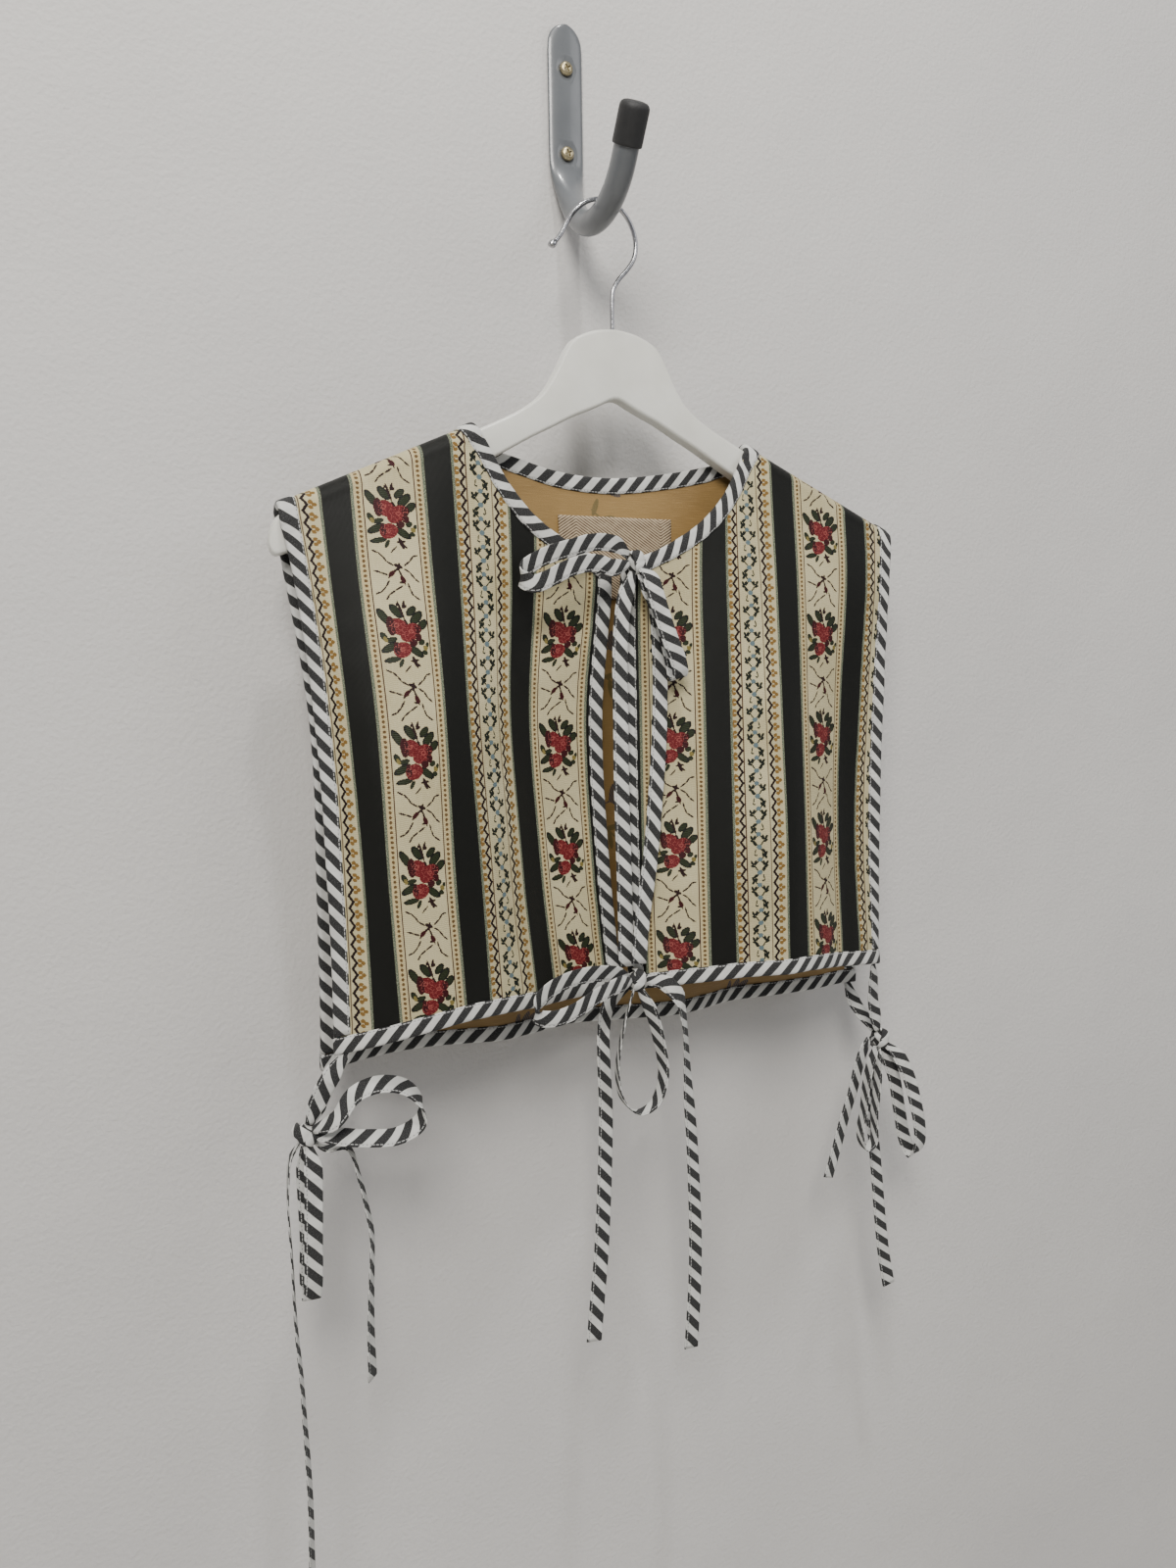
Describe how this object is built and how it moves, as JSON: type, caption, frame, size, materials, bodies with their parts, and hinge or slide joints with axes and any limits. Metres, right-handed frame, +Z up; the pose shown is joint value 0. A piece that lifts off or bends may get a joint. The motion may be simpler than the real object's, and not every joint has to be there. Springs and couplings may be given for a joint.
{
  "type": "brocade waistcoat with ribbon ties on a wooden hanger and a wall hook",
  "caption": "Cropped open-sided brocade waistcoat, bias-bound and tied with bows at neck, waist and sides, hanging from a painted wooden hanger on a steel wall hook.",
  "frame": {"origin": "on the wall, at the back face of the wall hook's plate, midway between its two screws", "axes": "+X to the right of a viewer who faces the wall, +Y into the wall, +Z up; the waistcoat's front faces -Y"},
  "size_m": [0.4757, 0.1122, 1.0075],
  "materials": {
    "brocade": "woven stripes, matt",
    "lining": "smooth cotton",
    "ticking": "matt twill",
    "label_tape": "herringbone tape",
    "hanger_paint": "painted, satin",
    "wire_chrome": "polished",
    "hook_paint": "gloss",
    "cap_rubber": "matt",
    "screw_metal": "yellow zinc, satin"
  },
  "bodies": {
    "root": {"front_right": "brocade", "front_left": "brocade", "back": "brocade", "front_lining_right": "lining", "front_lining_left": "lining", "back_lining": "lining", "neck_binding": "ticking", "opening_binding_right": "ticking", "opening_binding_left": "ticking", "front_hem_binding_right": "ticking", "front_hem_binding_left": "ticking", "front_side_binding_right": "ticking", "front_side_binding_left": "ticking", "back_hem_binding": "ticking", "back_side_binding_right": "ticking", "back_side_binding_left": "ticking", "label": "label_tape", "hanger": "hanger_paint", "hanger_wire": "wire_chrome", "wall_hook": "hook_paint", "hook_cap": "cap_rubber", "screw_upper": "screw_metal", "screw_lower": "screw_metal", "neck_knot": "ticking", "waist_knot": "ticking", "right_knot": "ticking", "left_knot": "ticking", "neck_tail_a": "ticking", "neck_tail_b": "ticking", "neck_loop_a": "ticking", "neck_loop_b": "ticking", "waist_loop_a": "ticking", "waist_loop_b": "ticking", "waist_tail_a": "ticking", "waist_tail_b": "ticking", "right_stay_front": "ticking", "right_stay_back": "ticking", "right_loop_a": "ticking", "right_tail_a": "ticking", "right_loop_b": "ticking", "right_tail_b": "ticking", "left_stay_front": "ticking", "left_stay_back": "ticking", "left_tail_a": "ticking", "left_loop_a": "ticking", "left_tail_b": "ticking", "left_loop_b": "ticking"}
  },
  "joints": []
}
